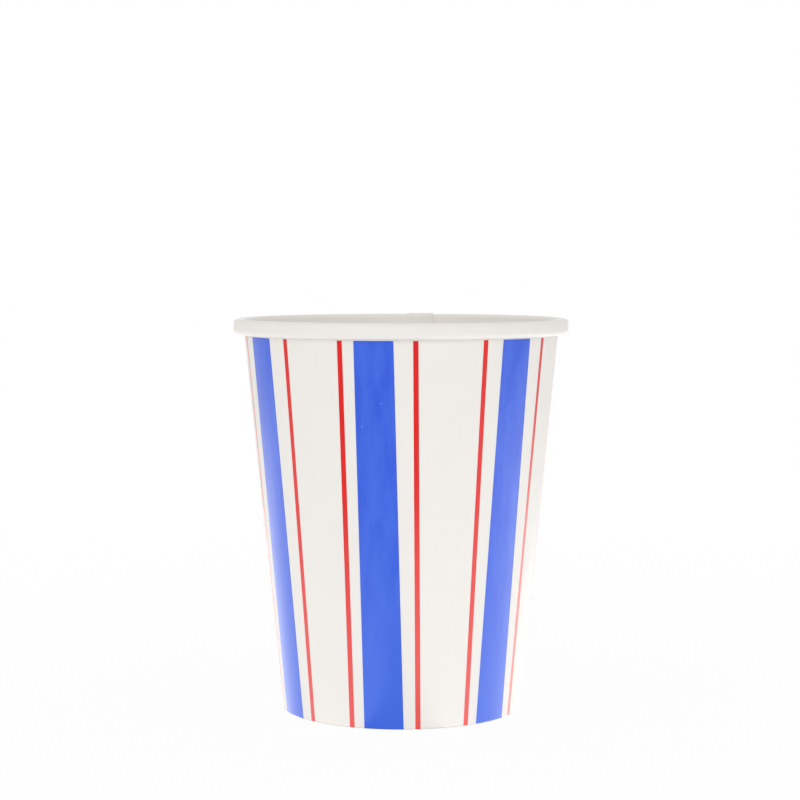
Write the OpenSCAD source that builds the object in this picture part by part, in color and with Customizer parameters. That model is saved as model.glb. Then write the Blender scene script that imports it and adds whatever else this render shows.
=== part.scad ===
// A single-wall paper cup with a rolled rim, a sealed base and printed stripes.
// The origin is the middle of the foot, on the table, with +Z up and the front of the cup towards -Y.
// The wall and the base are each one sheet of board. A sheet is drawn as its cross-section, which is
// the board's middle line with half the board on either side, and is turned about the cup's axis.

/* [Cup] */
// Height from the table to the top of the rim
cup_h = 93.5; // [70:0.5:130]
// Outer diameter of the rim
rim_d = 80; // [70:0.5:100]
// Outer diameter of the wall at the foot
foot_d = 57.3; // [50:0.1:64]
// Height of the inside floor above the table
floor_z = 8.1; // [6.5:0.1:12]
// Thickness of the board
board_t = 0.35; // [0.25:0.01:0.45]

/* [Rim] */
// Width of the roll, from the inside of the wall to its outer edge
roll_w = 2.9; // [2.4:0.05:4]
// Height of the roll
roll_h = 3.7; // [3.4:0.05:5]
// Bend of the board at the two top edges of the roll
roll_bend = 0.85; // [0.5:0.05:1]
// Space inside the roll between the edge of the tucked board and the bend above it
tuck_gap = 0.6; // [0.1:0.05:0.6]

/* [Base] */
// Bend of the board where the disc turns down into its skirt
skirt_bend = 0.7; // [0.3:0.05:1]
// Space between the edge of the hem and the bend of the skirt
hem_gap = 1.2; // [0.2:0.1:3]
// Space between the edge of the skirt and the fold of the hem
skirt_gap = 0.4; // [0.2:0.05:2]

/* [Side seam] */
// Width of the lap
lap_w = 6; // [4:0.5:7]

/* [Print] */
// Width of the blue stripes
blue_w = 9.1; // [6:0.1:10.5]
// Width of the red lines
red_w = 1.2; // [0.6:0.1:2]
// Degrees between a blue stripe at the back and the red line on either side of it
red_side = 14.2; // [13.5:0.1:16]
// Degrees from the blue stripe at either side of the front to the next one behind it
side_pitch = 53; // [50:0.5:55]
// Bare board between the top of the print and the roll
print_gap = 0.3; // [0.1:0.05:1]
// Thickness of the ink, drawn thick enough to be a solid
ink_t = 0.1; // [0.06:0.01:0.15]

/* [Hidden] */
$fn = 96;

board_colour = "#f3efea";
blue_colour = "#4b70e8";
red_colour = "#e62e28";

// The most degrees that one straight step of a bend turns through
bend_step = 22.5;
// Clearance between faces of board that lie against each other
film = 0.05;
// Inside radius of the fold at the foot
fold_inside = 0.05;
// How far the lap is sunk into the wall that carries it
lap_root = 0.15;
// How far the lap runs in under the roll
under_roll = 0.2;

rim_r = rim_d / 2;
foot_r = foot_d / 2;
half_t = board_t / 2;
roll_low = cup_h - roll_h;
neck_r = rim_r - roll_w + board_t;
taper = atan((neck_r - foot_r) / roll_low);

// Middle lines of the layers at the foot, as depths in from the wall's outer face
skirt_in = half_t + board_t + film;
hem_in = skirt_in + board_t + film;
// Middle line of the tuck, which lies outside the wall
tuck_in = -film - half_t;

fold_bend = fold_inside + half_t;
fold_z = half_t + fold_bend;
skirt_low = board_t + skirt_gap;
skirt_top = floor_z - half_t - skirt_bend;
hem_top = skirt_top - hem_gap;

// The roll: its outer leg is upright, and its underside is one bend between that leg and the tuck
leg_r = rim_r - half_t;
under_room = leg_r - face_r(tuck_in, roll_low + half_t);
under_bend = under_room / (1 + tan(taper) + 1 / cos(taper));
under_z = roll_low + half_t + under_bend;
top_room = leg_r - face_r(half_t, cup_h - half_t);
top_bend = min(roll_bend, top_room / (1 - tan(taper) + 1 / cos(taper)));
top_z = cup_h - half_t - top_bend;
tuck_top = top_z - tuck_gap;

// Each stripe is its place, in degrees round from the front, and the lean of its top to the right
front_blue = [[-61.4, 0.4], [-8.9, -0.6], [45.7, -0.4]];
front_red = [[-76.9, 0.3], [-45.2, 0.2], [-22.3, 0.5], [6.2, -1], [31, -0.2], [61.4, -0.4]];
back_count = 4;
back_first = front_blue[2][0] + side_pitch;
back_last = front_blue[0][0] - side_pitch + 360;
back_pitch = (back_last - back_first) / (back_count - 1);
back_blue = [for (i = [0:back_count - 1]) [back_first + i * back_pitch, 0]];
back_red = [for (stripe = back_blue, side = [-1, 1]) [stripe[0] + side * red_side, 0]];
seam_at = (back_blue[1][0] + back_blue[2][0]) / 2;

// Radius, at height z, of the cone that lies the given depth in from the wall's outer face
function face_r(depth, z) = foot_r + z * tan(taper) - depth / cos(taper);

function bend(centre, r, from, to) =
    let (steps = ceil(abs(to - from) / bend_step))
    [for (i = [0:steps]) let (a = from + (to - from) * i / steps) centre + r * [cos(a), sin(a)]];

function reversed(points) = [for (i = [len(points) - 1:-1:0]) points[i]];

// One face of the wall's sheet from the hem to the tuck, s to the left of its middle line
function wall_face(s) = concat(
    [[face_r(hem_in - s, hem_top), hem_top]],
    bend([face_r(hem_in, fold_z) + fold_bend / cos(taper), fold_z], fold_bend - s, 180 - taper, 270),
    bend([face_r(half_t, fold_z) - fold_bend / cos(taper), fold_z], fold_bend - s, 270, 360 - taper),
    bend([face_r(half_t, top_z) + top_bend / cos(taper), top_z], top_bend + s, 180 - taper, 90),
    bend([leg_r - top_bend, top_z], top_bend + s, 90, 0),
    bend([leg_r - under_bend, under_z], under_bend + s, 0, -180 - taper),
    [[face_r(tuck_in + s, tuck_top), tuck_top]]
);

// One face of the base's sheet from the axis to the edge of the skirt, s to the left of its middle line
function base_face(s) = concat(
    [[0, floor_z - half_t + s]],
    bend([face_r(skirt_in, skirt_top) - skirt_bend / cos(taper), skirt_top], skirt_bend + s, 90, -taper),
    [[face_r(skirt_in - s, skirt_low), skirt_low]]
);

// A shell on the wall, from one depth to another, between the foot's fold and the given height
module wall_shell(inner, outer, high) {
    low = fold_z + half_t;
    rotate_extrude()
        polygon([[face_r(inner, low), low], [face_r(outer, low), low],
                 [face_r(outer, high), high], [face_r(inner, high), high]]);
}

// An upright slab of width w that runs out from the axis at the given place, its top leant to the right
module slab(at, lean, w) {
    rotate([0, 0, at - 90])
        translate([0, 0, cup_h / 2])
            rotate([-lean, 0, 0])
                translate([0, -w / 2, -cup_h])
                    cube([rim_d, w, 2 * cup_h]);
}

module stripes(places, w) {
    for (stripe = places)
        intersection() {
            wall_shell(0, -ink_t, roll_low - print_gap);
            slab(stripe[0], stripe[1], w);
        }
}

// The lap: a second thickness of board, laid on the wall
module lap() {
    intersection() {
        wall_shell(lap_root, -board_t, roll_low + under_roll);
        slab(seam_at, 0, lap_w);
    }
}

module sidewall() {
    color(board_colour) {
        rotate_extrude() polygon(concat(wall_face(half_t), reversed(wall_face(-half_t))));
        lap();
    }
}

module base_disc() {
    color(board_colour)
        rotate_extrude() polygon(concat(base_face(half_t), reversed(base_face(-half_t))));
}

module blue_stripes() {
    color(blue_colour) stripes(concat(front_blue, back_blue), blue_w);
}

module red_lines() {
    color(red_colour) stripes(concat(front_red, back_red), red_w);
}

sidewall();
base_disc();
blue_stripes();
red_lines();
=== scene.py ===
# A printed paper cup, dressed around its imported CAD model.
# Every size is in millimetres until a mesh is made, and then in metres. Places round the cup are
# degrees from its front, which faces -Y, towards +X.
import math

import bmesh
import bpy
import numpy as np
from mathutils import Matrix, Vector


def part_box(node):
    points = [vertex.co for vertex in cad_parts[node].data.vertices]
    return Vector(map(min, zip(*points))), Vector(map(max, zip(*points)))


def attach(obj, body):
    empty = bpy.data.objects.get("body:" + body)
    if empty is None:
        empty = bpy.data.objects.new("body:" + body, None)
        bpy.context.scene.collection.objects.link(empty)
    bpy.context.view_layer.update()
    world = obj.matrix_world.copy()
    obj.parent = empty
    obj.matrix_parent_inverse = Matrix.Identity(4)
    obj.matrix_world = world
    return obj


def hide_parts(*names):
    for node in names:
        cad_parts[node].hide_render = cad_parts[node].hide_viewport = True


MM = 0.001

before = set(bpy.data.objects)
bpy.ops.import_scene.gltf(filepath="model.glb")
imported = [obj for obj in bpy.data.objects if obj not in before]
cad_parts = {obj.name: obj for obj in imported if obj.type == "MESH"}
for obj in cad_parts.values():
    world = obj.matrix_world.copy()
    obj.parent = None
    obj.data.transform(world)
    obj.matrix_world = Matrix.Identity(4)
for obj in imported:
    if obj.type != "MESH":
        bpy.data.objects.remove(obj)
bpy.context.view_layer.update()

# Sizes of the cup. The first two are the frame's own, and the rest are those of the CAD model.
CUP_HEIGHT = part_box("sidewall")[1].z / MM
RIM_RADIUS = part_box("sidewall")[1].x / MM
FOOT_RADIUS = 28.65
FLOOR_HEIGHT = 8.1
BOARD = 0.35
ROLL_WIDTH = 2.9
ROLL_HEIGHT = 3.7
ROLL_BEND = 0.85
TUCK_GAP = 0.6
SKIRT_BEND = 0.7
HEM_GAP = 1.2
SKIRT_GAP = 0.4
FILM = 0.05
FOLD_INSIDE = 0.05

# The lap: its width, the run over which the board climbs on to it, how far to either side of its middle the
# columns are close, its glue, and how far the roll swells out and up over it
LAP_WIDTH = 6.0
LAP_CLIMB = 1.3
LAP_REACH = 12.0
LAP_GLUE = 0.01
ROLL_SWELL = 0.15
ROLL_RISE = 0.18
# The fold of the lap's outer layer is the wider one. Below this height, and over this run, the board is
# drawn up at the lap, so that the fold still stands on the table.
LAP_LIFT_BELOW = 4.0
LAP_LIFT_RUN = 3.0

# The print. A stripe is its place and the lean of its top to the right, both in degrees.
BLUE_WIDTH = 9.1
RED_WIDTH = 1.2
FRONT_BLUE = [(-61.4, 0.4), (-8.9, -0.6), (45.7, -0.4)]
FRONT_RED = [(-76.9, 0.3), (-45.2, 0.2), (-22.3, 0.5), (6.2, -1.0), (31.0, -0.2), (61.4, -0.4)]
BACK_COUNT = 4
# Degrees from a blue stripe at the back to the red line on either side of it
RED_SIDE = 14.2
# Degrees from the blue stripe at either side of the front to the next one behind it
SIDE_PITCH = 53.0
# Bare board between the top of the print and the roll
PRINT_GAP = 0.3
# How far the print runs on round the fold of the foot
PRINT_WRAP = 0.5
# The ink's thickness, how far its long edges waver, and the length of a waver
INK = 0.02
INK_WAVER = 0.06
WAVER_LENGTH = 4.0

# The ribs that press the hem on to the skirt: their number and depth, the height at which they start, the
# plain board above them, and the run over which they fade
CRIMP_RIBS = 108
CRIMP_DEPTH = 0.11
CRIMP_LOW = 1.0
CRIMP_MARGIN = 0.5
CRIMP_FADE = 0.8

# The gathers where the disc is drawn down: their number and depth, and the runs over which they rise on the
# floor and fade on the skirt
GATHERS = 90
GATHER_DEPTH = 0.035
GATHER_RISE = 1.2
GATHER_FADE = 1.0

# Points along a section of the wall: up the hem, round each half of the foot's fold, up the wall, round each
# top bend of the roll, and round its underside
HEM_ROWS = 10
FOLD_STEPS = 6
WALL_ROWS = 14
ROLL_STEPS = 8
UNDER_STEPS = 16

# Points along a section of the base: across the floor, round its bend, and down the skirt
FLOOR_ROWS = 11
SKIRT_STEPS = 8
SKIRT_ROWS = 5

# Columns to each rib or gather, and round the wall away from the lap
COLUMNS_PER_RIB = 4
WALL_COLUMNS = 360

# Points up a stripe, and across each kind of stripe
STRIPE_ROWS = 90
BLUE_COLUMNS = 10
RED_COLUMNS = 3

# Sizes of the patterns in the finishes: the clouds of fibre under the film, the fibres, those of the cut
# edge, the ink's streaks, and the cells of which a few hold a pinhole. A paper fibre is about 0.03 mm wide,
# too fine to show in the render, so both kinds of fibre are drawn as coarse as they need to show.
CLOUD = 7.0
FIBRE = 0.6
CUT_FIBRE = 0.25
STREAK_WIDTH = 2.5
STREAK_LENGTH = 14.0
PINHOLE_CELL = 2.2
# A pinhole's radius and its soft rim, as shares of its cell, and the share of the cells that have none
PINHOLE_RADIUS = 0.05
PINHOLE_RIM = 0.03
NO_PINHOLE = 0.93

# Heights between which the ink's colour goes paler on the way down to the foot: a painted reflection of the
# bright floor below
PALE_FOOT_FROM = 54.0
PALE_FOOT_TO = 4.0

# The camera, fitted to the photograph: its place, its dip in degrees, its lens and its sensor
CAMERA_PLACE = (-0.254, -512.5, 108.6)
CAMERA_DIP = 3.88
LENS = 96.23
SENSOR = 36

# Soft boxes, turned to the cup: the name, place, size and power of each, in metres and watts
SOFT_BOXES = [
    ("left_softbox", (-0.8, -0.5, 0.2), 0.3, 0.5),
    ("right_softbox", (0.8, -0.45, 0.2), 0.3, 0.3),
    ("front_softbox", (0, -0.9, 0.35), 0.4, 1.5),
    ("back_softbox", (0, 0.9, 0.1), 0.3, 1.0),
]

# Panels that lie on the floor and face up: the same, and whether one lights the cup or shows in gloss alone
PANELS = [
    ("light_table", (0, 0), 0.3, 0.04, True),
    ("left_glow", (-0.21, 0.08), 0.4, 0.8, False),
    ("right_glow", (0.19, 0.0), 0.36, 1.2, False),
]
PANEL_HEIGHT = 0.0001
# How far off upright a panel is aimed, so that its turn about its own axis is settled
PANEL_TILT = 0.00001

# The floor: its half width, and the distances from the cup between which it goes from keeping a share of
# the cup's shadow to plain white, in metres
FLOOR_HALF = 6.0
SHADOW_NEAR = 0.05
SHADOW_FAR = 0.35
SHADOW_SHARE = 0.05

# The world's strength on the cup itself. To the camera and in gloss it is 1, which is white.
WORLD_STRENGTH = 0.7

HALF = BOARD / 2
FOLD_BEND = FOLD_INSIDE + HALF
ROLL_LOW = CUP_HEIGHT - ROLL_HEIGHT
TAPER = math.atan((RIM_RADIUS - ROLL_WIDTH + BOARD - FOOT_RADIUS) / ROLL_LOW)
SKIRT_IN = HALF + BOARD + FILM
HEM_IN = SKIRT_IN + BOARD + FILM
FOLD_Z = HALF + FOLD_BEND
FOLD_EDGE = FOLD_Z - (FOLD_BEND + HALF) * math.sin(TAPER)
SKIRT_TOP = FLOOR_HEIGHT - HALF - SKIRT_BEND
HEM_TOP = SKIRT_TOP - HEM_GAP
BACK_FIRST = FRONT_BLUE[-1][0] + SIDE_PITCH
BACK_LAST = FRONT_BLUE[0][0] - SIDE_PITCH + 360
BACK_PITCH = (BACK_LAST - BACK_FIRST) / (BACK_COUNT - 1)
SEAM_AT = (BACK_FIRST + BACK_LAST) / 2

# What the soft boxes are turned to, in metres
CUP_MIDDLE = (0, 0, CUP_HEIGHT / 2 * MM)


def linear(hex_colour):
    """An sRGB hex colour as linear red, green, blue and alpha."""
    parts = [int(hex_colour[i : i + 2], 16) / 255 for i in (1, 3, 5)]
    return (*(c / 12.92 if c <= 0.04045 else ((c + 0.055) / 1.055) ** 2.4 for c in parts), 1.0)


def add(tree, kind, inputs=None, **settings):
    """Adds a node. Inputs are sockets, by name or number, each set to a value or to a node's output."""
    node = tree.nodes.new(kind)
    for name, value in settings.items():
        setattr(node, name, value)
    for name, value in (inputs or {}).items():
        if isinstance(value, bpy.types.NodeSocket):
            tree.links.new(value, node.inputs[name])
        else:
            node.inputs[name].default_value = value
    return node


def new_material(name):
    """An empty material with its output, and the Object coordinates in millimetres."""
    material = bpy.data.materials.new(name)
    material.use_nodes = True
    tree = material.node_tree
    tree.nodes.clear()
    place = add(tree, "ShaderNodeTexCoord")
    per_mm = add(tree, "ShaderNodeVectorMath", {0: place.outputs["Object"], "Scale": 1 / MM},
                 operation="SCALE")
    return material, tree, per_mm.outputs[0]


def fibre_relief(tree, mm):
    """The faint relief of the fibres, which shows through the film and the ink."""
    fibre = add(tree, "ShaderNodeTexNoise", {"Vector": mm, "Scale": 1 / FIBRE, "Detail": 4.0,
                                             "Roughness": 0.65})
    bump = add(tree, "ShaderNodeBump", {"Height": fibre.outputs["Fac"], "Strength": 0.12,
                                        "Distance": 0.06 * MM})
    return bump.outputs[0]


def coated_board():
    """Cup board with a clear film: an even, faintly warm white with a satin gloss and the soft, cloudy
    look of the fibres under the film."""
    material, tree, mm = new_material("coated_cup_board")
    cloud = add(tree, "ShaderNodeTexNoise", {"Vector": mm, "Scale": 1 / CLOUD, "Detail": 3.0,
                                             "Roughness": 0.6})
    tint = add(tree, "ShaderNodeMix", {0: cloud.outputs["Fac"], 6: linear("#efebe5"),
                                       7: linear("#f4f1ec")}, data_type="RGBA")
    gloss = add(tree, "ShaderNodeMapRange", {"Value": cloud.outputs["Fac"], "From Min": 0.3,
                                             "From Max": 0.7, "To Min": 0.48, "To Max": 0.56})
    board = add(tree, "ShaderNodeBsdfPrincipled",
                {"Base Color": tint.outputs[2], "Roughness": gloss.outputs[0],
                 "Normal": fibre_relief(tree, mm), "IOR": 1.36, "Sheen Weight": 0.1,
                 "Sheen Roughness": 0.4})
    add(tree, "ShaderNodeOutputMaterial", {"Surface": board.outputs[0]})
    return material


def cut_board_edge():
    """The cut edge of the board, where no film covers it: matt, a little creamier, with coarse fibres."""
    material, tree, mm = new_material("cut_board_edge")
    fibre = add(tree, "ShaderNodeTexNoise", {"Vector": mm, "Scale": 1 / CUT_FIBRE, "Detail": 3.0})
    tint = add(tree, "ShaderNodeMix", {0: fibre.outputs["Fac"], 6: linear("#e3dccf"),
                                       7: linear("#f1ece2")}, data_type="RGBA")
    bump = add(tree, "ShaderNodeBump", {"Height": fibre.outputs["Fac"], "Strength": 0.5,
                                        "Distance": 0.1 * MM})
    board = add(tree, "ShaderNodeBsdfPrincipled",
                {"Base Color": tint.outputs[2], "Roughness": 0.8, "Normal": bump.outputs[0], "IOR": 1.45})
    add(tree, "ShaderNodeOutputMaterial", {"Surface": board.outputs[0]})
    return material


def flexo_ink(name, thin, full, foot_reflection, pinhole):
    """Flexographic ink, printed on the film. It lies a little unevenly, in soft upright streaks, and leaves
    the odd pinhole where the board shows through. Its colour goes paler towards the foot, a painted
    reflection of the bright floor below, and it pales at a slant."""
    material, tree, mm = new_material(name)
    stretched = add(tree, "ShaderNodeMapping",
                    {"Vector": mm, "Scale": (1 / STREAK_WIDTH, 1 / STREAK_WIDTH, 1 / STREAK_LENGTH)})
    streak = add(tree, "ShaderNodeTexNoise", {"Vector": stretched.outputs[0], "Scale": 1.0, "Detail": 4.0,
                                              "Roughness": 0.6})
    spread = add(tree, "ShaderNodeMapRange", {"Value": streak.outputs["Fac"], "From Min": 0.3,
                                              "From Max": 0.7})
    lay = add(tree, "ShaderNodeMix", {0: spread.outputs[0], 6: linear(thin), 7: linear(full)},
              data_type="RGBA")
    up = add(tree, "ShaderNodeSeparateXYZ", {0: mm})
    # Painted reflection: the colour is mixed towards a paler one towards the foot, standing in for the bright
    # floor reflected there
    floor_reflection_share = add(tree, "ShaderNodeMapRange", {"Value": up.outputs[2], "From Min": PALE_FOOT_FROM,
                                               "From Max": PALE_FOOT_TO})
    with_foot_reflection = add(tree, "ShaderNodeMix", {0: floor_reflection_share.outputs[0], 6: lay.outputs[2], 7: linear(foot_reflection)},
                data_type="RGBA")
    cells = add(tree, "ShaderNodeTexVoronoi", {"Vector": mm, "Scale": 1 / PINHOLE_CELL})
    hole = add(tree, "ShaderNodeMapRange",
               {"Value": cells.outputs["Distance"], "From Min": PINHOLE_RADIUS,
                "From Max": PINHOLE_RADIUS + PINHOLE_RIM, "To Min": 1.0, "To Max": 0.0})
    pick = add(tree, "ShaderNodeSeparateColor", {0: cells.outputs["Color"]})
    rare = add(tree, "ShaderNodeMath", {0: pick.outputs[0], 1: NO_PINHOLE}, operation="GREATER_THAN")
    bare = add(tree, "ShaderNodeMath", {0: hole.outputs[0], 1: rare.outputs[0]}, operation="MULTIPLY")
    colour = add(tree, "ShaderNodeMix", {0: bare.outputs[0], 6: with_foot_reflection.outputs[2], 7: linear(pinhole)},
                 data_type="RGBA")
    ink = add(tree, "ShaderNodeBsdfPrincipled",
              {"Base Color": colour.outputs[2], "Roughness": 0.28, "Normal": fibre_relief(tree, mm),
               "IOR": 1.38, "Sheen Weight": 1.0, "Sheen Roughness": 0.25})
    add(tree, "ShaderNodeOutputMaterial", {"Surface": ink.outputs[0]})
    return material


def face_radius(depth, z):
    """Radius, at height z, of the cone that lies the given depth in from the wall's outer face."""
    return FOOT_RADIUS + z * math.tan(TAPER) - depth / math.cos(TAPER)


def bend(centre, radius, start, end, steps):
    """Points along a bend of the board, as (radius from the axis, height)."""
    turns = np.radians(np.linspace(start, end, steps + 1))
    return [(centre[0] + radius * math.cos(a), centre[1] + radius * math.sin(a)) for a in turns]


def straight(depth, low, high, rows):
    """Points up the cone at a depth, its two ends left out."""
    return [(face_radius(depth, z), z) for z in np.linspace(low, high, rows + 2)[1:-1]]


def wall_section(s, fat):
    """One face of the wall's sheet from the hem to the tuck inside the roll, s to the left of its middle
    line. Fat is 1 where the roll also holds the lap."""
    taper = math.degrees(TAPER)
    slant = math.cos(TAPER)
    leg = RIM_RADIUS - HALF + ROLL_SWELL * fat
    tuck_in = -FILM - HALF - (BOARD + LAP_GLUE) * fat
    under_room = leg - face_radius(tuck_in, ROLL_LOW + HALF)
    under_bend = under_room / (1 + math.tan(TAPER) + 1 / slant)
    under_z = ROLL_LOW + HALF + under_bend
    top_z = CUP_HEIGHT - HALF - ROLL_BEND + ROLL_RISE * fat
    hem_at = face_radius(HEM_IN, FOLD_Z) + FOLD_BEND / slant
    wall_at = face_radius(HALF, FOLD_Z) - FOLD_BEND / slant
    roll_at = face_radius(HALF, top_z) + ROLL_BEND / slant
    section = np.array(
        [(face_radius(HEM_IN - s, HEM_TOP), HEM_TOP)]
        + straight(HEM_IN - s, HEM_TOP, FOLD_Z, HEM_ROWS)
        + bend((hem_at, FOLD_Z), FOLD_BEND - s, 180 - taper, 270, FOLD_STEPS)
        + bend((wall_at, FOLD_Z), FOLD_BEND - s, 270, 360 - taper, FOLD_STEPS)
        + straight(HALF + s, FOLD_Z, top_z, WALL_ROWS)
        + bend((roll_at, top_z), ROLL_BEND + s, 180 - taper, 90, ROLL_STEPS)
        + bend((leg - ROLL_BEND, top_z), ROLL_BEND + s, 90, 0, ROLL_STEPS)
        + bend((leg - under_bend, under_z), under_bend + s, 0, -180 - taper, UNDER_STEPS)
        + [(face_radius(tuck_in + s, top_z - TUCK_GAP), top_z - TUCK_GAP)]
    )
    near_foot = smooth_step((LAP_LIFT_BELOW - section[:, 1]) / LAP_LIFT_RUN)
    section[:, 1] += fat * (BOARD + LAP_GLUE) * near_foot
    return section


def base_section(s):
    """One face of the base's sheet from the axis to the edge of the skirt, s to the left of its middle
    line."""
    taper = math.degrees(TAPER)
    bend_at = face_radius(SKIRT_IN, SKIRT_TOP) - SKIRT_BEND / math.cos(TAPER)
    flat = [(r, FLOOR_HEIGHT - HALF + s) for r in np.linspace(0, bend_at, FLOOR_ROWS + 1)[:-1]]
    return np.array(
        flat
        + bend((bend_at, SKIRT_TOP), SKIRT_BEND + s, 90, -taper, SKIRT_STEPS)
        + straight(SKIRT_IN - s, SKIRT_TOP, BOARD + SKIRT_GAP, SKIRT_ROWS)
        + [(face_radius(SKIRT_IN - s, BOARD + SKIRT_GAP), BOARD + SKIRT_GAP)]
    )


def smooth_step(x):
    """0 below 0 and 1 above 1, with an easy curve between."""
    x = np.clip(x, 0, 1)
    return x * x * (3 - 2 * x)


def wall_columns():
    """The upright lines of the wall's sheet, from the inner edge of the lap round to its outer edge. Each
    is (turn, distance, lift, fat): its share of the whole turn, its distance past that along the board,
    how far it has climbed on to the lap, and how fat the roll is there."""
    step = 2 * math.pi * face_radius(HEM_IN, HEM_TOP) / CRIMP_RIBS / COLUMNS_PER_RIB
    start = [(0.0, d) for d in np.arange(-LAP_WIDTH / 2, LAP_REACH, step)]
    main = [(w, LAP_REACH * (1 - 2 * w)) for w in np.linspace(0, 1, WALL_COLUMNS)]
    end = [(1.0, d) for d in np.arange(LAP_WIDTH / 2, -LAP_REACH, -step)[::-1]]
    edge = LAP_WIDTH / 2 + LAP_CLIMB
    columns = []
    for turn, distance in start + main + end:
        lift = float(smooth_step((distance + edge) / LAP_CLIMB)) if turn == 1 else 0.0
        fat = float(smooth_step((edge - abs(distance)) / LAP_CLIMB)) if turn in (0, 1) else 0.0
        columns.append((turn, distance, lift, fat))
    return columns


def set_round(section, angle_at):
    """Section points, in millimetres, set round the axis at an angle that may depend on their radius."""
    r, z = section[:, 0], section[:, 1]
    a = angle_at(np.maximum(r, 1))
    return np.stack([r * np.sin(a), -r * np.cos(a), z], axis=1) * MM


def sheet_mesh(name, grid, closed, marks):
    """A closed sheet of board. grid is (columns, rows, faces, 3) and marks holds named values for each column
    and row. The sheet's cut edges take the second material."""
    columns, rows = grid.shape[:2]
    spans = [(c, (c + 1) % columns) for c in range(columns if closed else columns - 1)]

    def at(c, row, face):
        return (c * rows + row) * 2 + face

    faces, cut = [], []
    for a, b in spans:
        for row in range(rows - 1):
            faces.append((at(a, row, 0), at(a, row + 1, 0), at(b, row + 1, 0), at(b, row, 0)))
            faces.append((at(a, row, 1), at(b, row, 1), at(b, row + 1, 1), at(a, row + 1, 1)))
        first = [] if closed else [(at(a, 0, 0), at(b, 0, 0), at(b, 0, 1), at(a, 0, 1))]
        cut += first + [(at(a, rows - 1, 0), at(a, rows - 1, 1), at(b, rows - 1, 1), at(b, rows - 1, 0))]
    if not closed:
        for c in (0, columns - 1):
            cut += [(at(c, row, 0), at(c, row, 1), at(c, row + 1, 1), at(c, row + 1, 0))
                    for row in range(rows - 1)]
    mesh = bpy.data.meshes.new(name)
    mesh.from_pydata(grid.reshape(-1, 3).tolist(), [], faces + cut)
    mesh.polygons.foreach_set("material_index", [0] * len(faces) + [1] * len(cut))
    for mark, values in marks.items():
        both = np.repeat(values.reshape(-1), 2).astype(np.float32)
        mesh.attributes.new(mark, "FLOAT", "POINT").data.foreach_set("value", both)
    work = bmesh.new()
    work.from_mesh(mesh)
    bmesh.ops.remove_doubles(work, verts=work.verts, dist=1e-7)
    bmesh.ops.recalc_face_normals(work, faces=work.faces)
    for face in work.faces:
        face.smooth = True
    for edge in work.edges:
        edge.smooth = len({face.material_index for face in edge.link_faces}) == 1
    work.to_mesh(mesh)
    work.free()
    return mesh


def add_piece(name, mesh, *materials):
    """A mesh as an object of the scene, with its materials."""
    piece = bpy.data.objects.new(name, mesh)
    bpy.context.scene.collection.objects.link(piece)
    for material in materials:
        mesh.materials.append(material)
    return piece


def bake_nodes(piece, tree, values):
    """Runs a node tree on a piece and keeps the result as the piece's plain mesh."""
    modifier = piece.modifiers.new(tree.name, "NODES")
    modifier.node_group = tree
    for socket in tree.interface.items_tree:
        if socket.name in values:
            modifier[socket.identifier] = values[socket.name]
    depsgraph = bpy.context.evaluated_depsgraph_get()
    mesh = bpy.data.meshes.new_from_object(piece.evaluated_get(depsgraph))
    mesh.name = piece.name
    piece.modifiers.remove(modifier)
    piece.data = mesh
    for mark in ("around", "press", "place", "lean", "stripe"):
        if mark in mesh.attributes:
            mesh.attributes.remove(mesh.attributes[mark])


def new_tree(name, sockets):
    """A node tree with a Geometry input and output and the named inputs, and its input node."""
    tree = bpy.data.node_groups.new(name, "GeometryNodeTree")
    tree.interface.new_socket("Geometry", in_out="INPUT", socket_type="NodeSocketGeometry")
    for socket, kind in sockets.items():
        tree.interface.new_socket(socket, in_out="INPUT", socket_type="NodeSocket" + kind)
    tree.interface.new_socket("Geometry", in_out="OUTPUT", socket_type="NodeSocketGeometry")
    return tree, add(tree, "NodeGroupInput").outputs


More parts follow.
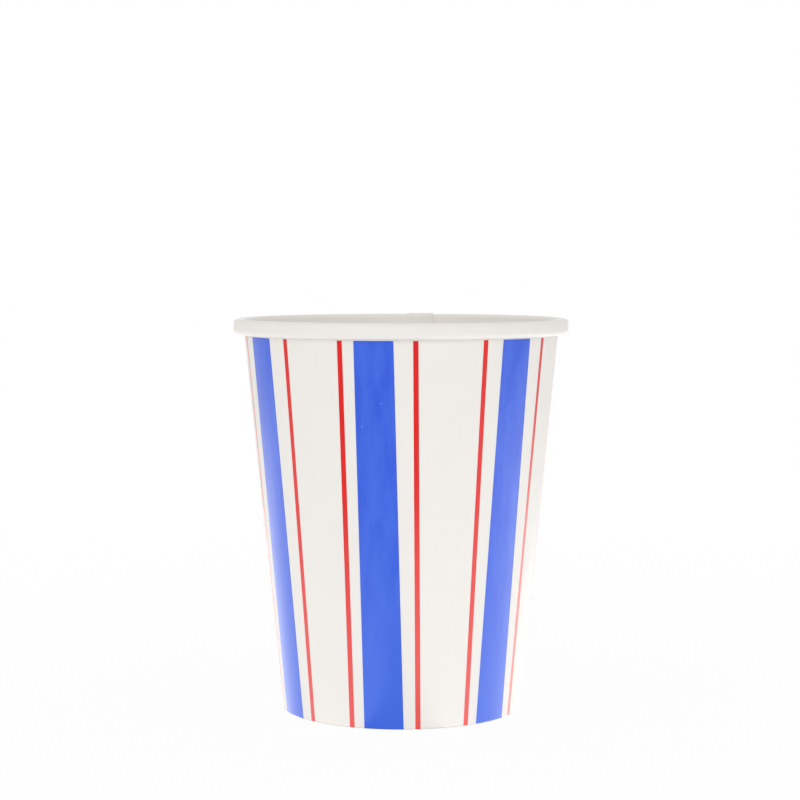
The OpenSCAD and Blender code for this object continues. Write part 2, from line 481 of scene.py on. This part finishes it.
def ribs_tree():
    """Presses upright ribs into board. The piece's own marks say how far round each point is and how hard it
    is pressed, and the ribs' depth wanders a little, as a knurled tool leaves it."""
    tree, given = new_tree("Pressed ribs", {"Ribs": "Float", "Depth": "Float", "Board": "Material",
                                            "Cut edge": "Material"})
    around = add(tree, "GeometryNodeInputNamedAttribute", {"Name": "around"}, data_type="FLOAT")
    press = add(tree, "GeometryNodeInputNamedAttribute", {"Name": "press"}, data_type="FLOAT")
    turns = add(tree, "ShaderNodeMath", {0: around.outputs[0], 1: given["Ribs"]}, operation="MULTIPLY")
    phase = add(tree, "ShaderNodeMath", {0: turns.outputs[0], 1: 2 * math.pi}, operation="MULTIPLY")
    wave = add(tree, "ShaderNodeMath", {0: phase.outputs[0]}, operation="COSINE")
    uneven = add(tree, "ShaderNodeTexNoise", {"W": turns.outputs[0], "Scale": 0.35, "Detail": 1.0},
                 noise_dimensions="1D")
    strength = add(tree, "ShaderNodeMath", {0: wave.outputs[0], 1: uneven.outputs[0]}, operation="MULTIPLY")
    pressed = add(tree, "ShaderNodeMath", {0: strength.outputs[0], 1: press.outputs[0]}, operation="MULTIPLY")
    amount = add(tree, "ShaderNodeMath", {0: pressed.outputs[0], 1: given["Depth"]}, operation="MULTIPLY")
    where = add(tree, "GeometryNodeInputPosition")
    flat = add(tree, "ShaderNodeVectorMath", {0: where.outputs[0], 1: (1.0, 1.0, 0.0)}, operation="MULTIPLY")
    outward = add(tree, "ShaderNodeVectorMath", {0: flat.outputs[0]}, operation="NORMALIZE")
    shift = add(tree, "ShaderNodeVectorMath", {0: outward.outputs[0], "Scale": amount.outputs[0]},
                operation="SCALE")
    moved = add(tree, "GeometryNodeSetPosition", {"Geometry": given["Geometry"], "Offset": shift.outputs[0]})
    real = add(tree, "GeometryNodeRealizeInstances", {0: moved.outputs[0]})
    index = add(tree, "GeometryNodeInputMaterialIndex")
    is_cut = add(tree, "FunctionNodeCompare", {2: index.outputs[0], 3: 1}, data_type="INT", operation="EQUAL")
    board = add(tree, "GeometryNodeSetMaterial", {"Geometry": real.outputs[0], "Material": given["Board"]})
    cut = add(tree, "GeometryNodeSetMaterial", {"Geometry": board.outputs[0], "Selection": is_cut.outputs[0],
                                                "Material": given["Cut edge"]})
    add(tree, "NodeGroupOutput", {0: cut.outputs[0]})
    return tree


def stripes_tree():
    """Lays a printed stripe on the wall at each point of the input. A stripe is a thin block, bent round the
    cone at its own place and lean, whose two long edges waver as a printing plate's do."""
    tree, given = new_tree("Printed stripes", {"Width": "Float", "Low": "Float", "High": "Float",
                                               "Foot radius": "Float", "Slope": "Float",
                                               "Fold height": "Float", "Fold bend": "Float", "Ink": "Float",
                                               "Waver": "Float", "Across": "Int", "Up": "Int",
                                               "Finish": "Material"})
    block = add(tree, "GeometryNodeMeshCube", {"Size": (1.0, 1.0, 1.0), "Vertices X": given["Across"],
                                               "Vertices Y": 2, "Vertices Z": given["Up"]})
    copies = add(tree, "GeometryNodeInstanceOnPoints", {"Points": given["Geometry"],
                                                        "Instance": block.outputs[0]})
    real = add(tree, "GeometryNodeRealizeInstances", {0: copies.outputs[0]})
    place = add(tree, "GeometryNodeInputNamedAttribute", {"Name": "place"}, data_type="FLOAT")
    lean = add(tree, "GeometryNodeInputNamedAttribute", {"Name": "lean"}, data_type="FLOAT")
    stripe = add(tree, "GeometryNodeInputNamedAttribute", {"Name": "stripe"}, data_type="FLOAT")
    where = add(tree, "GeometryNodeInputPosition")
    local = add(tree, "ShaderNodeSeparateXYZ", {0: where.outputs[0]})
    # Rows crowd towards the foot, where the print goes round the fold
    rise = add(tree, "ShaderNodeMath", {0: local.outputs[2], 1: 0.5}, operation="ADD")
    crowded = add(tree, "ShaderNodeMath", {0: rise.outputs[0], 1: 2.0}, operation="POWER")
    run = add(tree, "ShaderNodeMapRange", {"Value": crowded.outputs[0], "To Min": given["Low"],
                                           "To Max": given["High"]})
    height = add(tree, "ShaderNodeMath", {0: run.outputs[0], 1: given["Fold height"]}, operation="MAXIMUM")
    below = add(tree, "ShaderNodeMath", {0: height.outputs[0], 1: run.outputs[0]}, operation="SUBTRACT")
    taper = add(tree, "ShaderNodeMath", {0: given["Slope"]}, operation="ARCTANGENT")
    curled = add(tree, "ShaderNodeMath", {0: below.outputs[0], 1: given["Fold bend"]}, operation="DIVIDE")
    facing = add(tree, "ShaderNodeMath", {0: curled.outputs[0], 1: taper.outputs[0]}, operation="ADD")
    out_now = add(tree, "ShaderNodeMath", {0: facing.outputs[0]}, operation="COSINE")
    out_first = add(tree, "ShaderNodeMath", {0: taper.outputs[0]}, operation="COSINE")
    out_step = add(tree, "ShaderNodeMath", {0: out_now.outputs[0], 1: out_first.outputs[0]},
                   operation="SUBTRACT")
    down_now = add(tree, "ShaderNodeMath", {0: facing.outputs[0]}, operation="SINE")
    down_first = add(tree, "ShaderNodeMath", {0: taper.outputs[0]}, operation="SINE")
    down_step = add(tree, "ShaderNodeMath", {0: down_first.outputs[0], 1: down_now.outputs[0]},
                    operation="SUBTRACT")
    level = add(tree, "ShaderNodeMath", {0: down_step.outputs[0], 1: given["Fold bend"],
                                         2: height.outputs[0]}, operation="MULTIPLY_ADD")
    # The two long edges: across the stripe by its width and lean, and a little waver
    middle = add(tree, "ShaderNodeMath", {0: given["Low"], 1: given["High"]}, operation="ADD")
    half_way = add(tree, "ShaderNodeMath", {0: middle.outputs[0], 1: 0.5}, operation="MULTIPLY")
    above = add(tree, "ShaderNodeMath", {0: height.outputs[0], 1: half_way.outputs[0]}, operation="SUBTRACT")
    tilt = add(tree, "ShaderNodeMath", {0: lean.outputs[0]}, operation="TANGENT")
    leant = add(tree, "ShaderNodeMath", {0: tilt.outputs[0], 1: above.outputs[0]}, operation="MULTIPLY")
    side = add(tree, "ShaderNodeMath", {0: local.outputs[0], 1: stripe.outputs[0], 2: 10.0},
               operation="MULTIPLY_ADD")
    wander = add(tree, "ShaderNodeCombineXYZ", {0: height.outputs[0], 1: side.outputs[0],
                                                2: stripe.outputs[0]})
    rough = add(tree, "ShaderNodeTexNoise", {"Vector": wander.outputs[0], "Scale": 1 / (WAVER_LENGTH * MM),
                                             "Detail": 2.0})
    even = add(tree, "ShaderNodeMath", {0: rough.outputs[0], 1: 0.5}, operation="SUBTRACT")
    waver = add(tree, "ShaderNodeMath", {0: even.outputs[0], 1: given["Waver"]}, operation="MULTIPLY")
    across = add(tree, "ShaderNodeMath", {0: local.outputs[0], 1: given["Width"], 2: leant.outputs[0]},
                 operation="MULTIPLY_ADD")
    aside = add(tree, "ShaderNodeMath", {0: across.outputs[0], 1: waver.outputs[0]}, operation="ADD")
    # Out from the axis: the cone, the ink's own thickness, and in again round the fold
    cone = add(tree, "ShaderNodeMath", {0: height.outputs[0], 1: given["Slope"], 2: given["Foot radius"]},
               operation="MULTIPLY_ADD")
    proud = add(tree, "ShaderNodeMath", {0: local.outputs[1], 1: given["Ink"], 2: cone.outputs[0]},
                operation="MULTIPLY_ADD")
    radius = add(tree, "ShaderNodeMath", {0: out_step.outputs[0], 1: given["Fold bend"], 2: proud.outputs[0]},
                 operation="MULTIPLY_ADD")
    share = add(tree, "ShaderNodeMath", {0: aside.outputs[0], 1: radius.outputs[0]}, operation="DIVIDE")
    swing = add(tree, "ShaderNodeMath", {0: share.outputs[0]}, operation="ARCSINE")
    angle = add(tree, "ShaderNodeMath", {0: swing.outputs[0], 1: place.outputs[0]}, operation="ADD")
    sine = add(tree, "ShaderNodeMath", {0: angle.outputs[0]}, operation="SINE")
    cosine = add(tree, "ShaderNodeMath", {0: angle.outputs[0]}, operation="COSINE")
    x = add(tree, "ShaderNodeMath", {0: radius.outputs[0], 1: sine.outputs[0]}, operation="MULTIPLY")
    forward = add(tree, "ShaderNodeMath", {0: radius.outputs[0], 1: cosine.outputs[0]}, operation="MULTIPLY")
    y = add(tree, "ShaderNodeMath", {0: forward.outputs[0], 1: -1.0}, operation="MULTIPLY")
    there = add(tree, "ShaderNodeCombineXYZ", {0: x.outputs[0], 1: y.outputs[0], 2: level.outputs[0]})
    laid = add(tree, "GeometryNodeSetPosition", {"Geometry": real.outputs[0], "Position": there.outputs[0]})
    corner = add(tree, "GeometryNodeInputMeshEdgeAngle")
    is_corner = add(tree, "FunctionNodeCompare", {0: corner.outputs[0], 1: 0.5}, operation="GREATER_THAN")
    smooth = add(tree, "GeometryNodeSetShadeSmooth", {"Geometry": laid.outputs[0]}, domain="FACE")
    crisp = add(tree, "GeometryNodeSetShadeSmooth", {"Geometry": smooth.outputs[0],
                                                     "Selection": is_corner.outputs[0],
                                                     "Shade Smooth": False}, domain="EDGE")
    again = add(tree, "GeometryNodeRealizeInstances", {0: crisp.outputs[0]})
    inked = add(tree, "GeometryNodeSetMaterial", {"Geometry": again.outputs[0], "Material": given["Finish"]})
    add(tree, "NodeGroupOutput", {0: inked.outputs[0]})
    return tree


def make_wall(board, edge, ribs):
    """The wall: one sheet wound into a cone, its edges lapped at the back, hemmed below and rolled above."""
    columns = wall_columns()
    grid, around = [], []
    hem_r = face_radius(HEM_IN, HEM_TOP / 2)
    for turn, distance, lift, fat in columns:
        def angle_at(r):
            return math.radians(SEAM_AT) + turn * 2 * math.pi + distance / r

        sides = [wall_section(s - lift * (BOARD + LAP_GLUE), fat) for s in (HALF, -HALF)]
        grid.append(np.stack([set_round(side, angle_at) for side in sides], axis=1))
        around.append(turn + distance / hem_r / (2 * math.pi))
    grid = np.array(grid)
    rows = grid.shape[1]
    heights = wall_section(0, 0)[:, 1]
    band = smooth_step((heights - CRIMP_LOW) / CRIMP_FADE)
    band *= smooth_step((HEM_TOP - CRIMP_MARGIN - heights) / CRIMP_FADE)
    band *= np.arange(rows) < HEM_ROWS + 2
    marks = {"around": np.repeat(np.array(around)[:, None], rows, 1),
             "press": np.repeat(band[None], len(columns), 0)}
    piece = add_piece("wall", sheet_mesh("wall", grid, False, marks), board, edge)
    bake_nodes(piece, ribs, {"Ribs": float(CRIMP_RIBS), "Depth": CRIMP_DEPTH * MM, "Board": board,
                             "Cut edge": edge})
    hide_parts("sidewall")
    return piece


def make_base(board, edge, ribs):
    """The base: a disc drawn down into a skirt, with small gathers where the board had to crowd."""
    count = GATHERS * COLUMNS_PER_RIB
    turns = np.arange(count) / count
    sides = [base_section(s) for s in (HALF, -HALF)]
    grid = np.array([np.stack([set_round(side, lambda r: 2 * math.pi * turn) for side in sides], axis=1)
                     for turn in turns])
    section = base_section(0)
    near_bend = smooth_step((section[:, 0] - section[FLOOR_ROWS - 1, 0]) / GATHER_RISE)
    near_bend *= smooth_step((section[:, 1] - SKIRT_TOP + GATHER_FADE) / GATHER_FADE)
    rows = grid.shape[1]
    marks = {"around": np.repeat(turns[:, None], rows, 1), "press": np.repeat(near_bend[None], count, 0)}
    piece = add_piece("base", sheet_mesh("base", grid, True, marks), board, edge)
    bake_nodes(piece, ribs, {"Ribs": float(GATHERS), "Depth": GATHER_DEPTH * MM, "Board": board,
                             "Cut edge": edge})
    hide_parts("base_disc")
    return piece


def make_stripes(name, node, places, width, columns, finish, tree):
    """The stripes of one ink, as one piece."""
    mesh = bpy.data.meshes.new(name)
    mesh.from_pydata([(0, 0, 0)] * len(places), [], [])
    marks = {"place": np.radians([place for place, _ in places]),
             "lean": np.radians([lean for _, lean in places]),
             "stripe": np.arange(len(places))}
    for mark, values in marks.items():
        mesh.attributes.new(mark, "FLOAT", "POINT").data.foreach_set("value", values.astype(np.float32))
    piece = add_piece(name, mesh, finish)
    bake_nodes(piece, tree, {"Width": width * MM, "Low": (FOLD_EDGE - PRINT_WRAP) * MM,
                             "High": (ROLL_LOW - PRINT_GAP) * MM, "Foot radius": FOOT_RADIUS * MM,
                             "Slope": math.tan(TAPER), "Fold height": FOLD_EDGE * MM,
                             "Fold bend": (FOLD_BEND + HALF) * MM, "Ink": 2 * INK * MM,
                             "Waver": INK_WAVER * MM, "Across": columns, "Up": STRIPE_ROWS,
                             "Finish": finish})
    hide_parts(node)
    return piece


def make_floor():
    """A plain white floor. The camera and reflections see it lit evenly, and near the cup it keeps a share
    of the cup's soft shadow."""
    half = FLOOR_HALF
    mesh = bpy.data.meshes.new("floor")
    mesh.from_pydata([(-half, -half, 0), (half, -half, 0), (half, half, 0), (-half, half, 0)], [],
                     [(0, 1, 2, 3)])
    material = bpy.data.materials.new("white_studio_floor")
    material.use_nodes = True
    tree = material.node_tree
    tree.nodes.clear()
    matt = add(tree, "ShaderNodeBsdfDiffuse", {"Color": linear("#f4f4f4")})
    glow = add(tree, "ShaderNodeEmission", {"Strength": 1.0})
    ray = add(tree, "ShaderNodeLightPath")
    seen = add(tree, "ShaderNodeMath", {0: ray.outputs["Is Camera Ray"], 1: ray.outputs["Is Glossy Ray"]},
               operation="MAXIMUM")
    place = add(tree, "ShaderNodeTexCoord")
    away = add(tree, "ShaderNodeVectorMath", {0: place.outputs["Object"]}, operation="LENGTH")
    even = add(tree, "ShaderNodeMapRange", {"Value": away.outputs["Value"], "From Min": SHADOW_NEAR,
                                            "From Max": SHADOW_FAR, "To Min": 1 - SHADOW_SHARE,
                                            "To Max": 1.0})
    share = add(tree, "ShaderNodeMath", {0: seen.outputs[0], 1: even.outputs[0]}, operation="MULTIPLY")
    mixed = add(tree, "ShaderNodeMixShader", {0: share.outputs[0], 1: matt.outputs[0], 2: glow.outputs[0]})
    add(tree, "ShaderNodeOutputMaterial", {"Surface": mixed.outputs[0]})
    add_piece("floor", mesh, material)


def make_world():
    """An even white surround. The camera and reflections see it as plain white."""
    world = bpy.data.worlds.new("white_surround")
    bpy.context.scene.world = world
    world.use_nodes = True
    tree = world.node_tree
    tree.nodes.clear()
    ray = add(tree, "ShaderNodeLightPath")
    seen = add(tree, "ShaderNodeMath", {0: ray.outputs["Is Camera Ray"], 1: ray.outputs["Is Glossy Ray"]},
               operation="MAXIMUM")
    strength = add(tree, "ShaderNodeMapRange", {"Value": seen.outputs[0], "To Min": WORLD_STRENGTH,
                                                "To Max": 1.0})
    sky = add(tree, "ShaderNodeBackground", {"Color": (1, 1, 1, 1), "Strength": strength.outputs[0]})
    add(tree, "ShaderNodeOutputWorld", {0: sky.outputs[0]})


def add_lamp(name, place, size, power, aim):
    """A square lamp, turned from its place towards its aim, both in metres. The camera doesn't see it."""
    data = bpy.data.lights.new(name, "AREA")
    data.size = size
    data.energy = power
    lamp = bpy.data.objects.new(name, data)
    bpy.context.scene.collection.objects.link(lamp)
    lamp.location = place
    lamp.rotation_euler = (Vector(aim) - Vector(place)).to_track_quat("-Z", "Y").to_euler()
    lamp.visible_camera = False
    return lamp


def make_camera():
    """The photograph's view: from in front, a little above the rim, looking slightly down."""
    data = bpy.data.cameras.new("camera")
    data.sensor_width = SENSOR
    data.lens = LENS
    camera = bpy.data.objects.new("camera", data)
    bpy.context.scene.collection.objects.link(camera)
    camera.location = [length * MM for length in CAMERA_PLACE]
    camera.rotation_euler = (math.radians(90 - CAMERA_DIP), 0, 0)
    bpy.context.scene.camera = camera


make_camera()
make_world()
make_floor()
for name, place, size, power in SOFT_BOXES:
    add_lamp(name, place, size, power, CUP_MIDDLE)
for name, (x, y), size, power, lights_cup in PANELS:
    panel = add_lamp(name, (x, y, PANEL_HEIGHT), size, power, (x, y + PANEL_TILT, 1))
    panel.visible_diffuse = lights_cup

board = coated_board()
edge = cut_board_edge()
# Each ink's third colour is its painted reflection of the bright floor, at the foot
blue = flexo_ink("blue_flexo_ink", "#406de7", "#2d59de", "#3867e0", "#8f9ff0")
red = flexo_ink("red_flexo_ink", "#e70d0a", "#dc0504", "#ea5451", "#ef8f8c")

back_blue = [(BACK_FIRST + i * BACK_PITCH, 0.0) for i in range(BACK_COUNT)]
back_red = [(place + side * RED_SIDE, 0.0) for place, _ in back_blue for side in (-1, 1)]
ribs = ribs_tree()
stripes = stripes_tree()
pieces = [
    make_wall(board, edge, ribs),
    make_base(board, edge, ribs),
    make_stripes("blue_print", "blue_stripes", FRONT_BLUE + back_blue, BLUE_WIDTH, BLUE_COLUMNS,
                 blue, stripes),
    make_stripes("red_print", "red_lines", FRONT_RED + back_red, RED_WIDTH, RED_COLUMNS, red,
                 stripes),
]
for piece in pieces:
    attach(piece, "root")

bpy.context.scene.view_settings.view_transform = "Standard"
